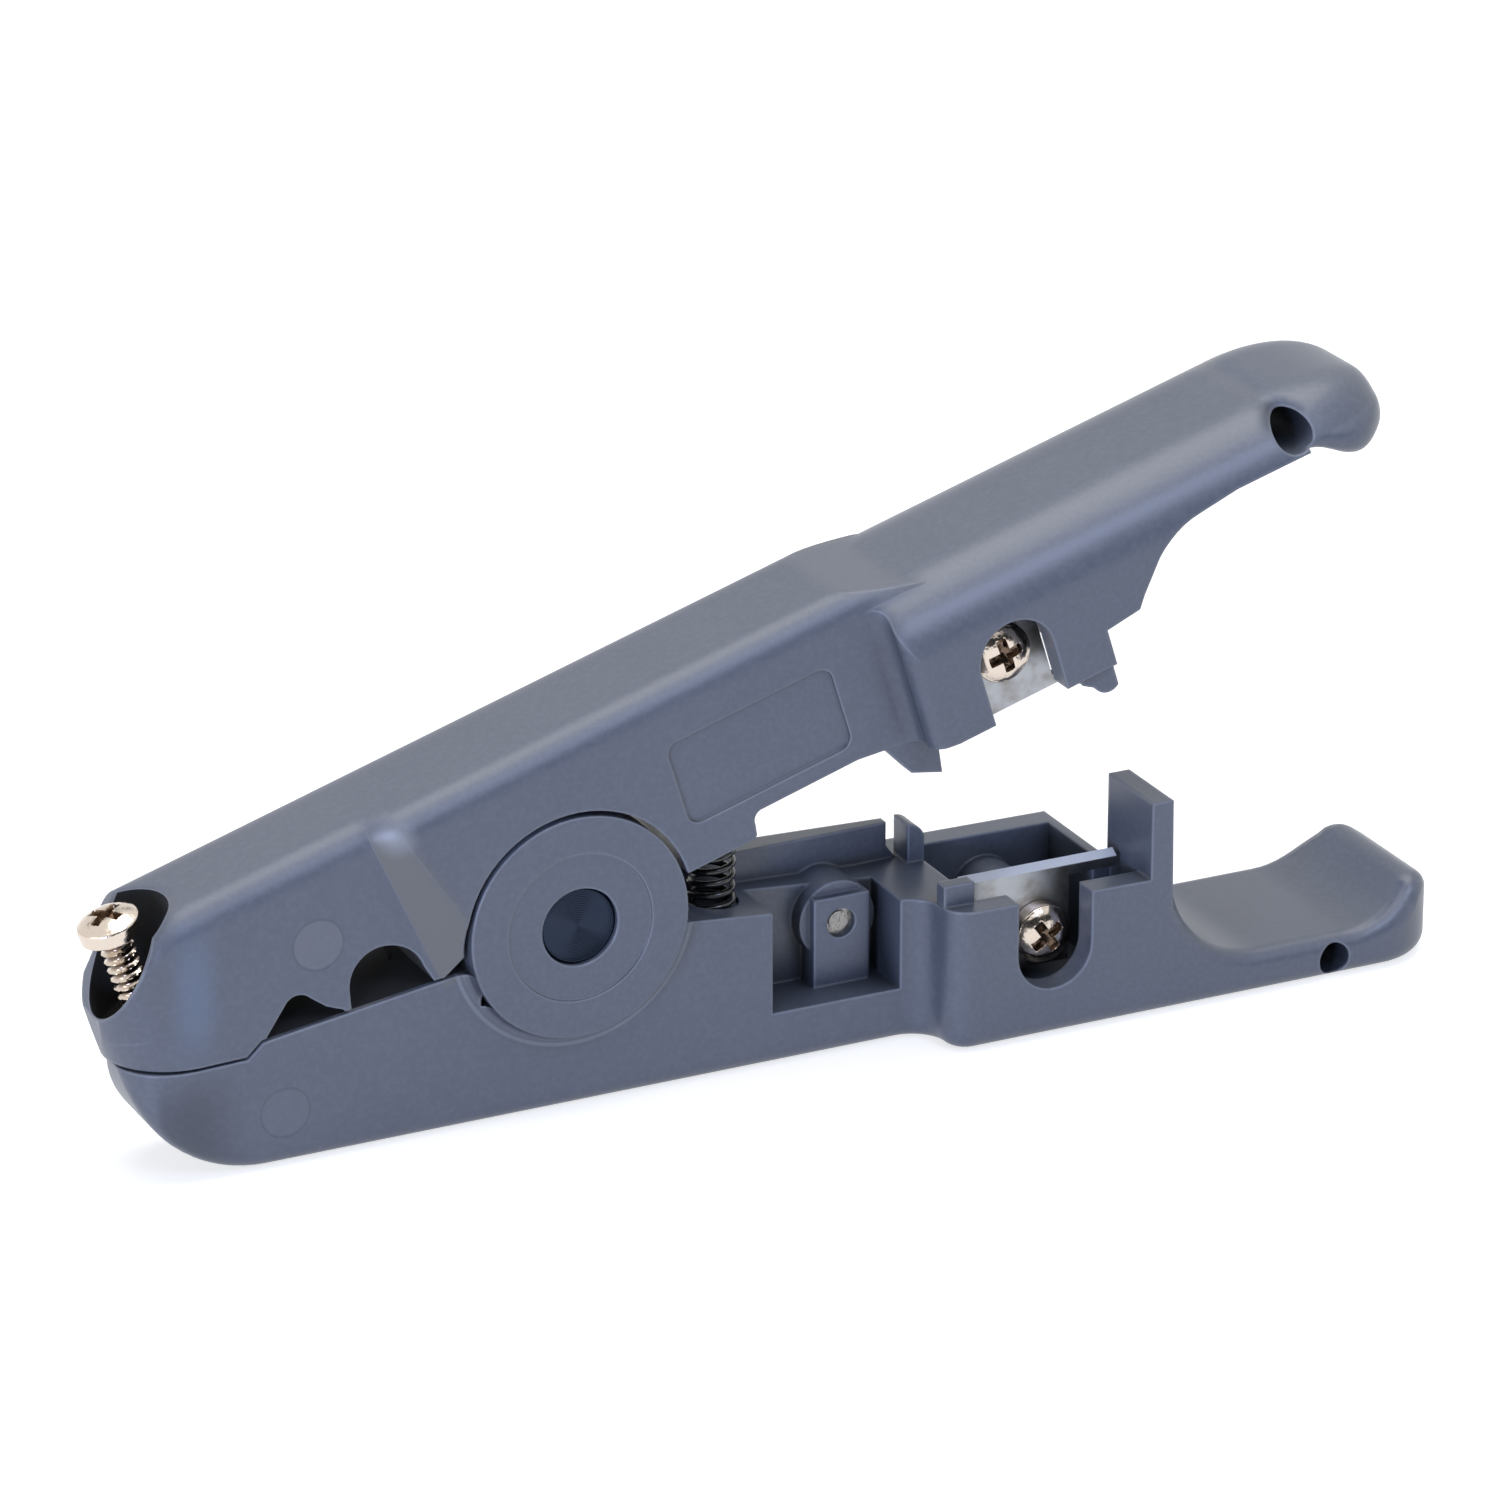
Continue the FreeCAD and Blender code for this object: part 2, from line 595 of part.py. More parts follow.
def return_spring():
    """Coil wound from short straight steps of six-sided wire."""
    rise = spring_top_z - spring_seat_z - 2 * spring_wire_r
    count = spring_turns * spring_sides
    points = []
    for k in range(count + 1):
        turn = 2 * math.pi * k / spring_sides
        points.append(V(spring_r * math.cos(turn), spring_r * math.sin(turn), rise * k / count))
    start = points[1] - points[0]
    hexagon = []
    across = V(1, 0, 0)
    up = start.cross(across).normalize()
    for k in range(7):
        turn = math.pi * k / 3
        hexagon.append(points[0] + across * spring_wire_r * math.cos(turn)
                       + up * spring_wire_r * math.sin(turn))
    sweep = Part.BRepOffsetAPI.MakePipeShell(Part.makePolygon(points))
    sweep.setTransitionMode(1)
    sweep.add(Part.makePolygon(hexagon))
    sweep.build()
    sweep.makeSolid()
    coil = sweep.shape()
    coil.translate(V(spring_x, spring_y, spring_seat_z + spring_wire_r))
    return coil


def screw(length, r, head, thick):
    """Pan head screw: head from z = 0 up, shank down."""
    cap = Part.makeCylinder(head, thick, V(0, 0, 0))
    rim = [e for e in cap.Edges if e.BoundBox.ZMin > thick - tiny]
    cap = cap.makeChamfer(thick * 0.35, rim)
    cross = block(-head * 0.6, head * 0.6, -0.35, 0.35, thick - 0.9, thick + 1)
    cross = cross.fuse(block(-0.35, 0.35, -head * 0.6, head * 0.6, thick - 0.9, thick + 1))
    return cap.cut(cross).fuse(Part.makeCylinder(r, length, V(0, 0, -length)))


def adjusting_screw():
    """Screw in the nose, square to the spine."""
    body = screw(adjust_head_v - adjust_tip_v, adjust_r, adjust_head_r, adjust_head_t)
    body.translate(V(adjust_u, 0, adjust_head_v))
    return lift(body)


def blade_screw(x, z):
    """Screw along Y with its head on the blade's near face."""
    body = screw(blade_shank, shank_r, head_r, head_t)
    body.rotate(V(0, 0, 0), V(1, 0, 0), 90)
    body.translate(V(x, blade_face_y, z))
    return body


def blade(x0, x1, x2, edge, back, hole_x, hole_z):
    """T-shaped blade: wide body with a screw hole, ground edge that runs on as a strip."""
    flip = 1.0 if edge > back else -1.0
    pts = [(x0, back), (x0, edge - flip * blade_bevel), (x2, edge - flip * blade_bevel),
           (x2, edge - flip * blade_strip), (x1, edge - flip * blade_strip), (x1, back)]
    body = side(pts, blade_face_y, blade_face_y + blade_thick)
    y1 = blade_face_y + blade_thick
    e0 = edge - flip * blade_bevel
    tip = Part.Wire(Part.makePolygon([V(x0, blade_face_y, e0), V(x0, y1, e0), V(x0, y1, edge),
                                      V(x0, blade_face_y, e0)]))
    body = body.fuse(Part.Face(tip).extrude(V(x2 - x0, 0, 0)))
    body = body.cut(rod(hole_x, hole_z, shank_r, -12, 12))
    return body.removeSplitter()


def lower_blade():
    return blade(box_x0, low_blade_x1, low_blade_x2, low_blade_top, low_blade_bottom,
                 low_screw_x, low_screw_z)


def upper_blade():
    body = blade(up_box_u0, up_blade_u1, up_blade_u1 + 1.8, up_blade_edge_v, up_blade_top_v,
                 up_screw_u, up_screw_v)
    return lift(body)


def block_screw():
    """Fixing screw from the far side; its small end shows in the window block."""
    length = nose_half - head_t - block_front_y - block_tip_length
    body = screw(length, block_hole_r, head_r - block_head_gap, head_t - 0.5)
    body.rotate(V(0, 0, 0), V(1, 0, 0), -90)
    body.translate(V(block_hole_x, nose_half - head_t, block_hole_z))
    tip = rod(block_hole_x, block_hole_z, block_tip_r, block_front_y + 0.5, block_front_y + 3)
    return body.fuse(tip).removeSplitter()


def jaw_blade():
    """Flat blade under the notches, with a round cut above each of them."""
    body = block(jaw_cavity_u0 + 0.3, jaw_cavity_u1, -jaw_blade_t / 2, jaw_blade_t / 2,
                 2.0, jaw_blade_top_v)
    body = lift(body)
    low = split_line(move_gap * 2)
    below = side([(-60.0, -5.0), (-60.0, split_z + move_gap)] + low + [(jaw_high_x, -5.0)], -12, 12)
    body = body.cut(below)
    for x, z, r in ((-25.2, 12.8, 1.5), (-17.8, 14.6, 2.8)):
        body = body.cut(rod(x, z, r, -2, 2))
    return body.removeSplitter()


nodes = {"lower_arm": lower_arm, "upper_arm": upper_arm, "pivot_pin": pivot_pin,
         "return_spring": return_spring, "adjusting_screw": adjusting_screw,
         "jaw_blade": jaw_blade, "lower_blade": lower_blade, "upper_blade": upper_blade,
         "block_screw": block_screw}


def build():
    shapes = {name: make() for name, make in nodes.items()}
    shapes["lower_blade_screw"] = blade_screw(low_screw_x, low_screw_z)
    shapes["upper_blade_screw"] = lift(blade_screw(up_screw_u, up_screw_v))
    return shapes


os.makedirs("parts", exist_ok=True)
for name, shape in build().items():
    shape.exportStep("parts/" + name + ".step")
    b = shape.BoundBox
    print(name, shape.isValid(), len(shape.Solids), round(shape.Volume, 1),
          [round(v, 2) for v in (b.XMin, b.XMax, b.YMin, b.YMax, b.ZMin, b.ZMax)])
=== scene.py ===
"""Cable stripper with blue-grey moulded arms, standing open on its lower arm."""
import math

import bmesh
import bpy
import numpy as np
from mathutils import Matrix, Vector


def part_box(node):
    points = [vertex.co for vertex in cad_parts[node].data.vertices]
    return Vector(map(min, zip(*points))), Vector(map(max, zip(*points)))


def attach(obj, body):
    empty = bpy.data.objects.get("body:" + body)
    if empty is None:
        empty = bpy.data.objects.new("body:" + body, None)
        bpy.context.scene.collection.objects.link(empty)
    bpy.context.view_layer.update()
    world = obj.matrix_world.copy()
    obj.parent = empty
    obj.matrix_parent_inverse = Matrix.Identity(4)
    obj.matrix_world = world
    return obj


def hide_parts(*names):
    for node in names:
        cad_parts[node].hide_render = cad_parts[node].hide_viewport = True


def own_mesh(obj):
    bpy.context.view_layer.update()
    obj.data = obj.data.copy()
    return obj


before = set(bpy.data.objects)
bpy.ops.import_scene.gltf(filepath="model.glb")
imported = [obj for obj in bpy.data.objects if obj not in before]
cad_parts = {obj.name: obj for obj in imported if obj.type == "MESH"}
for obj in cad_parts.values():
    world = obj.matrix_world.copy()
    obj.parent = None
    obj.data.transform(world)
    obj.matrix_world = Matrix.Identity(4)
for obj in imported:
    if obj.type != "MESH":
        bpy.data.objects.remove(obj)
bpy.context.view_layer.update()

MM = 0.001

# Camera: a long lens, left of the grips and a little above them; distances in metres
LENS_MM = 168.0
SENSOR_MM = 36.0
AIM = Vector((0.0200388, 0.0021943, 0.0266237))
CAMERA_DISTANCE = 0.6
CAMERA_AZIMUTH = math.radians(26.0)
CAMERA_ELEVATION = math.radians(22.0)
CAMERA_NEAR = 0.05        # nothing nearer than this is drawn

# Lamps, all aimed at the same point as the camera: name, place and width in metres, power in watts, colour
LAMPS = (("overhead", (0.08, 0.1, 0.95), 0.8, 6.0, "FFFBF5"),
         ("window", (-0.72, -0.6, 0.07), 0.22, 4.8, "BFD0FF"),
         ("front", (0.12, -0.62, 0.68), 0.3, 2.0, "C8D8FF"),
         ("left", (-0.85, 0.0, 0.35), 0.3, 1.0, "FFFFFF"))

# Cards for bright metal to reflect: name, place in metres, tilt about X in degrees, then
# width and height in metres
CARDS = (("front_card", (-0.1, -0.8, 0.2), 90.0, 1.5, 0.4),
         ("back_card", (0.1, 0.9, 0.62), 60.0, 1.2, 0.22))

# Floor and surroundings
FLOOR_SIZE = 8.0          # metres
FLOOR_PAPER = "C4C4C4"
FLOOR_WHITE = 0.7         # the floor's own white near the part
FLOOR_NEAR = 0.15         # from here, in metres, that white rises
FLOOR_FAR = 0.6           # to 1 here
WHITE = "FFFFFF"
STUDIO_AIR = "E9F0FF"
STUDIO_LEVEL = 0.3
CARD_FELT = "141414"

# Upper arm: pivot above the resting face, and how far it stands open
PIVOT_Z = 17.2
OPEN_ANGLE = math.radians(17.3)

# Pan heads and their threads, in millimetres
HEAD_T = 2.0
HEAD_DROP = 0.38          # share of the head's height that its top falls by at the rim
HEAD_POWER = 3.2          # how late it falls
HEAD_ROLL = 0.35          # height of the rounding at the rim
WING_W = 0.42             # half width of a driver wing
WING_REACH = 0.56         # how far a wing goes, as a share of the head's radius
RECESS_DEPTH = 1.15
SHANK_SHARE = 0.56        # shank radius as a share of the head's radius
THREAD_PITCH = 0.85
THREAD_DEPTH = 0.42
THREAD_SHARPNESS = 2.2
THREAD_ROWS = 14          # rings to one pitch

# How far each screw happens to be turned
LOWER_SPIN = math.radians(35.0)
UPPER_SPIN = math.radians(20.0)
ADJUST_SPIN = math.radians(30.0)

# Adjusting screw, in the upper arm's own directions
ADJUST_U = -36.3
ADJUST_HEAD_V = 16.0
ADJUST_TIP_V = 5.6
ADJUST_R = 1.5
ADJUST_HEAD_R = 2.7

# Return spring
SPRING_TURNS = 12.0
SPRING_STEPS = 28         # steps in one turn
SPRING_AROUND = 14        # points around the wire
SPRING_WIRE_R = 0.3

# Pivot pin
PIN_RIM = 0.4             # chamfer around its face
PIN_HOLLOW = 0.12         # how far the turned face dips to its centre
PIN_RING_PITCH = 0.16     # between the lathe's rings

# Discs that the ejector pins left on the near side: x, z and radius in millimetres, and how
# much they show
EJECTOR_MARKS = ((-26.5, 4.9, 2.2, 0.4), (-23.2, 19.5, 2.25, 1.0))
MARK_LINE = 0.16          # half width of the ring around a mark
MARK_CORE = 0.04          # half width of its darkest part
MARK_SOFT = 0.12          # how softly the mark itself begins
NEAR_Y = -4.0             # the near side lies beyond this

# Shades as sRGB hex
PLASTIC_LOW = "5A606D"
PLASTIC_HIGH = "636974"
PLASTIC_FLECK = "757A85"
PLASTIC_EDGE_HIGHLIGHT = "9EA4AE"   # painted highlight on edges and on the cove's outer lip
PLASTIC_SHADE = "2C3038"   # painted shade in corners, at the cove's foot and at the nose's foot
PLASTIC_STEP_LIGHT = "73726F"   # painted light: the step behind the jaw, as pale as a lit top face
# painted highlight down the nose's near corner
PLASTIC_CORNER_HIGHLIGHT = "73859C"
# painted highlight on the knuckle of the step
PLASTIC_KNUCKLE_HIGHLIGHT = "A0A4A9"
MARK_FACE = "7C7F84"
MARK_RING = "3E434C"
# painted shade inside the jaw's mouth and the adjusting screw's well
HOLLOW_SHADE = "08080A"
NICKEL = "D9CCBE"
# painted shade in the driver recess and the thread roots
NICKEL_RECESS_SHADE = "6E5D50"
STEEL_GROUND = "A9ACB1"
STEEL_STAINED = "8B8A88"
# ground bevel: paler in its own right, and near-white as a painted highlight
STEEL_BEVEL_AND_SHEEN = "EEF1F5"
# blued steel, its dark also painted shade deep in the jaw
BLADE_BLUED_AND_SHADE = "2A2A2C"
SCREW_DULL = "9B9A97"
WIRE_BLACK = "131417"
PIN_BLUED = "2B3342"

# Moulded edges, as the light shows them, in millimetres
EDGE_R = 0.4
NOOK_REACH = 5.0          # how wide a hollow still counts as a nook
SOFT_EDGE_R = 1.8         # along the back of the upper arm and at its shoulder
BACK_V0 = 13.6            # the back's edges are softened from here
BACK_V1 = 14.4            # and fully from here
SHOULDER_U0 = 31.5        # the shoulder lies between these two
SHOULDER_U1 = 38.0
SHOULDER_V0 = 8.0         # and is softened from here
SHOULDER_V1 = 9.5         # and fully from here

# Disc around the pin, and the outer lip of the cove round it, in millimetres
DISC_R = 10.0
COVE_R = 11.1
COVE_TOP_Z = 15.4         # the cove ends at the deck
COVE_FULL_Z = 14.9

# Painted shade in the hollows of the jaw, in millimetres
MOUTH_HALF = 4.55         # half the room between the outer rims of the jaw
MOUTH_X0 = -29.6
MOUTH_X1 = -9.6
MOUTH_Z0 = 11.0
MOUTH_Z1 = 18.5
HOLLOW_SOFT = 0.2
WELL_U = -35.6            # centre of the adjusting screw's well along the spine
WELL_R = 4.5
WELL_FLOOR_V = 7.6

# Slanted step behind the jaw: u of its two sides at the pin's height, and how far each leans for
# each millimetre of v
STEP_LEFT_U = -12.5
STEP_RIGHT_U = -7.6
STEP_LEFT_LEAN = 0.12
STEP_RIGHT_LEAN = 0.293
STEP_FOOT_V = 0.5
STEP_TOP_V = 15.4
KNUCKLE_U = -12.4
KNUCKLE_V = 15.2
KNUCKLE_R = 2.2

# Nose, in millimetres: a painted highlight down its near corner, and painted shade on its foot
CORNER_X0 = -34.4
CORNER_X1 = -34.2
CORNER_SOFT_X = 2.8
CORNER_Z0 = 16.0
CORNER_Z1 = 18.0
CORNER_SOFT_Z = 7.0
# painted shade on the nose's foot
FOOT_X0 = -29.0           # the dust begins here
FOOT_X1 = -35.0           # and is full here
FOOT_Z0 = 11.0
FOOT_Z1 = 6.0

# Ground bevels, in millimetres: heights of the lower blade's, and v and z of the upper blade's
LOW_BEVEL_Z0 = 13.47
LOW_BEVEL_Z1 = 13.53
LOW_BEVEL_END_Z = 19.0
UP_BEVEL_V0 = -0.62
UP_BEVEL_V1 = -0.68
UP_BEVEL_START_Z = 22.0


def linear(hex_colour):
    """sRGB hex to linear RGBA.

    Each channel c becomes c / 12.92 up to 0.04045, and ((c + 0.055) / 1.055) ** 2.4 above it.
    """
    out = []
    for i in (0, 2, 4):
        c = int(hex_colour[i:i + 2], 16) / 255.0
        out.append(c / 12.92 if c <= 0.04045 else ((c + 0.055) / 1.055) ** 2.4)
    return (*out, 1.0)


def node(tree, kind, settings=None, **inputs):
    """Add one shader node; a keyword fills a socket with a value, or links it from an output.

    In a keyword, an underscore stands for a space, and in0, in1 and so on name a socket by its place.
    """
    made = tree.nodes.new(kind)
    for name, value in (settings or {}).items():
        setattr(made, name, value)
    for name, value in inputs.items():
        numbered = name.startswith("in") and name[2:].isdigit()
        socket = made.inputs[int(name[2:])] if numbered else made.inputs[name.replace("_", " ")]
        if isinstance(value, bpy.types.NodeSocket):
            tree.links.new(value, socket)
        else:
            socket.default_value = value
    return made


def maths(tree, operation, first, second=0.0):
    """One Math node; returns its output."""
    return node(tree, "ShaderNodeMath", {"operation": operation}, in0=first, in1=second).outputs[0]


def material(name):
    """New material with a principled shader; returns the material, its tree and the shader."""
    made = bpy.data.materials.new(name)
    made.use_nodes = True
    tree = made.node_tree
    return made, tree, tree.nodes["Principled BSDF"]


# Materials


def ramp(tree, value, low, high):
    """Smooth step: 0 at low, 1 at high; low may be the larger of the two."""
    flip = low > high
    ends = (1.0, 0.0) if flip else (0.0, 1.0)
    made = node(tree, "ShaderNodeMapRange", {"interpolation_type": "SMOOTHSTEP"}, Value=value,
                From_Min=min(low, high), From_Max=max(low, high), To_Min=ends[0], To_Max=ends[1])
    return made.outputs[0]


def between(tree, value, low, high, soft):
    """1 between low and high, falling smoothly to 0 over a width of soft outside them."""
    return maths(tree, "MULTIPLY", ramp(tree, value, low - soft, low), ramp(tree, value, high + soft, high))


def along(tree, where, centre, direction):
    """Distance in metres along a direction from a centre: the dot product of (where - centre) and it."""
    moved = node(tree, "ShaderNodeVectorMath", {"operation": "SUBTRACT"}, in0=where, in1=centre)
    dot = node(tree, "ShaderNodeVectorMath", {"operation": "DOT_PRODUCT"},
               in0=moved.outputs[0], in1=direction)
    return dot.outputs["Value"]


def reach(tree, first, second):
    """Length of the two distances taken square to each other: sqrt(a * a + b * b)."""
    squares = maths(tree, "ADD", maths(tree, "MULTIPLY", first, first),
                    maths(tree, "MULTIPLY", second, second))
    return maths(tree, "SQRT", squares)


def spine_places(tree, where):
    """Place along the upper arm's spine (u), square to it (v), and across it (y), in metres."""
    c, s = math.cos(OPEN_ANGLE), math.sin(OPEN_ANGLE)
    pivot = (0.0, 0.0, PIVOT_Z * MM)
    u = along(tree, where, pivot, (c, 0.0, s))
    v = along(tree, where, pivot, (-s, 0.0, c))
    return u, v, along(tree, where, pivot, (0.0, 1.0, 0.0))


def ejector_marks(tree, where):
    """Two masks of the near side: 1 on a thin ring around each ejector mark, and 1 inside the marks."""
    y = along(tree, where, (0.0, 0.0, 0.0), (0.0, 1.0, 0.0))
    near = maths(tree, "LESS_THAN", y, NEAR_Y * MM)
    ring = disc = None
    for x, z, r, shown in EJECTOR_MARKS:
        centre = (x * MM, 0.0, z * MM)
        away = reach(tree, along(tree, where, centre, (1.0, 0.0, 0.0)),
                     along(tree, where, centre, (0.0, 0.0, 1.0)))
        edge = maths(tree, "ABSOLUTE", maths(tree, "SUBTRACT", away, r * MM))
        line = ramp(tree, edge, MARK_LINE * MM, MARK_CORE * MM)
        fill = maths(tree, "MULTIPLY", ramp(tree, away, r * MM, (r - MARK_SOFT) * MM), shown)
        ring = line if ring is None else maths(tree, "MAXIMUM", ring, line)
        disc = fill if disc is None else maths(tree, "MAXIMUM", disc, fill)
    return maths(tree, "MULTIPLY", ring, near), maths(tree, "MULTIPLY", disc, near)


def cove_lines(tree, u, v, z):
    """Two masks of the lower arm: painted shade at the cove's foot round the disc, painted highlight on its
    lip.
    """
    away = reach(tree, u, v)
    lower = ramp(tree, z, COVE_TOP_Z * MM, COVE_FULL_Z * MM)
    foot = between(tree, away, (DISC_R + 0.05) * MM, (DISC_R + 0.2) * MM, 0.25 * MM)
    lip = between(tree, away, COVE_R * MM, (COVE_R + 0.1) * MM, 0.22 * MM)
    return maths(tree, "MULTIPLY", foot, lower), maths(tree, "MULTIPLY", lip, lower)


def dark_hollows(tree, x, y, z, u, v):
    """1 on the walls inside the jaw's mouth and inside the adjusting screw's well, where shade is painted, 0
    elsewhere.
    """
    across = maths(tree, "ABSOLUTE", y)
    mouth = ramp(tree, across, MOUTH_HALF * MM, (MOUTH_HALF - 0.25) * MM)
    for value, low, high in ((x, MOUTH_X0, MOUTH_X1), (z, MOUTH_Z0, MOUTH_Z1)):
        mouth = maths(tree, "MULTIPLY", mouth, between(tree, value, low * MM, high * MM, HOLLOW_SOFT * MM))
    from_axis = reach(tree, maths(tree, "SUBTRACT", u, WELL_U * MM), y)
    well = ramp(tree, from_axis, (WELL_R + 0.06) * MM, (WELL_R + 0.01) * MM)
    well = maths(tree, "MULTIPLY", well, ramp(tree, v, (WELL_FLOOR_V - 0.4) * MM, (WELL_FLOOR_V - 0.2) * MM))
    return maths(tree, "MAXIMUM", mouth, well)


def soft_corners(tree, u, v):
    """1 along the back of the upper arm and over its shoulder, 0 elsewhere."""
    back = ramp(tree, v, BACK_V0 * MM, BACK_V1 * MM)
    shoulder = maths(tree, "MULTIPLY", between(tree, u, SHOULDER_U0 * MM, SHOULDER_U1 * MM, 1.0 * MM),
                     ramp(tree, v, SHOULDER_V0 * MM, SHOULDER_V1 * MM))
    return maths(tree, "MAXIMUM", back, shoulder)


def painted_light_places(tree, x, y, z, u, v):
    """Four masks of the near side for painted light: the step behind the jaw, its knuckle, the nose corner,
    the nose foot.
    """
    near = ramp(tree, y, NEAR_Y * MM, (NEAR_Y - 0.6) * MM)
    # the step lies between two lines that lean away from each other towards its foot
    left = maths(tree, "ADD", u, maths(tree, "MULTIPLY", v, STEP_LEFT_LEAN))
    right = maths(tree, "ADD", u, maths(tree, "MULTIPLY", v, STEP_RIGHT_LEAN))
    step = maths(tree, "MULTIPLY", ramp(tree, left, (STEP_LEFT_U - 0.15) * MM, (STEP_LEFT_U + 0.15) * MM),
                 ramp(tree, right, (STEP_RIGHT_U + 1.2) * MM, (STEP_RIGHT_U - 0.8) * MM))
    step = maths(tree, "MULTIPLY", step, between(tree, v, STEP_FOOT_V * MM, STEP_TOP_V * MM, 1.0 * MM))
    off_disc = ramp(tree, reach(tree, u, v), (DISC_R + 0.2) * MM, (DISC_R + 0.5) * MM)
    step = maths(tree, "MULTIPLY", step, off_disc)
    from_knuckle = reach(tree, maths(tree, "SUBTRACT", u, KNUCKLE_U * MM),
                         maths(tree, "SUBTRACT", v, KNUCKLE_V * MM))
    knuckle = maths(tree, "MULTIPLY", ramp(tree, from_knuckle, KNUCKLE_R * MM, 0.0),
                    ramp(tree, y, (NEAR_Y + 1.0) * MM, NEAR_Y * MM))
    corner = maths(tree, "MULTIPLY", between(tree, x, CORNER_X0 * MM, CORNER_X1 * MM, CORNER_SOFT_X * MM),
                   between(tree, z, CORNER_Z0 * MM, CORNER_Z1 * MM, CORNER_SOFT_Z * MM))
    foot = maths(tree, "MULTIPLY", ramp(tree, x, FOOT_X0 * MM, FOOT_X1 * MM),
                 ramp(tree, z, FOOT_Z0 * MM, FOOT_Z1 * MM))
    return (maths(tree, "MULTIPLY", step, near), knuckle, maths(tree, "MULTIPLY", corner, near),
            maths(tree, "MULTIPLY", foot, near))


def blend_colour(tree, factor, first, second):
    """First colour where the factor is 0, second where it is 1; each is a hex value or an output."""
    made = node(tree, "ShaderNodeMix", {"data_type": "RGBA"}, Factor=factor)
    for name, colour in (("A", first), ("B", second)):
        if isinstance(colour, str):
            made.inputs[name].default_value = linear(colour)
        else:
            tree.links.new(colour, made.inputs[name])
    return made.outputs["Result"]


